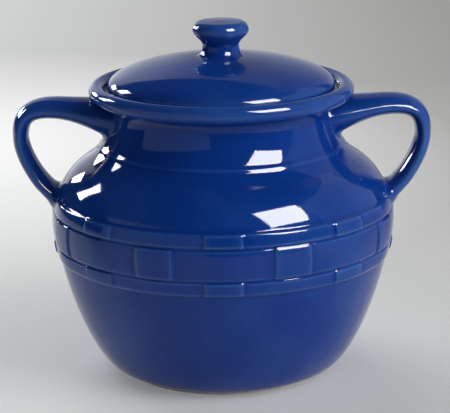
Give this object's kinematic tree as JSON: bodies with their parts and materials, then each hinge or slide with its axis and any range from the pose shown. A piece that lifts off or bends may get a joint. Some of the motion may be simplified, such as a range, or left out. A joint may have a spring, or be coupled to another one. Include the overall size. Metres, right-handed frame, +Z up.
{
  "type": "cookie jar",
  "caption": "Round-bellied glazed stoneware cookie jar with loop handles at neck and shoulder, a woven relief band, and a domed lift-off lid with a turned knob.",
  "frame": {"origin": "centre of the foot, on the table", "axes": "+Z up along the jar's axis, +X towards the right-hand handle, -Y towards the viewer of the picture"},
  "size_m": [0.2722, 0.2236, 0.2303],
  "materials": {
    "jar_glaze": "glossy cobalt blue glaze on stoneware",
    "handle_glaze": "glossy cobalt blue glaze on stoneware",
    "lid_glaze": "glossy cobalt blue glaze on stoneware",
    "knob_glaze": "glossy cobalt blue glaze on stoneware"
  },
  "bodies": {
    "jar": {"jar_body": "jar_glaze", "handle_left": "handle_glaze", "handle_right": "handle_glaze"},
    "lid": {"lid": "lid_glaze", "lid_knob": "knob_glaze"}
  },
  "joints": [
    {"name": "lid_lift", "type": "slide", "parent": "jar", "child": "lid", "axis": [0, 0, 1], "range_m": [0, 0.12]}
  ]
}
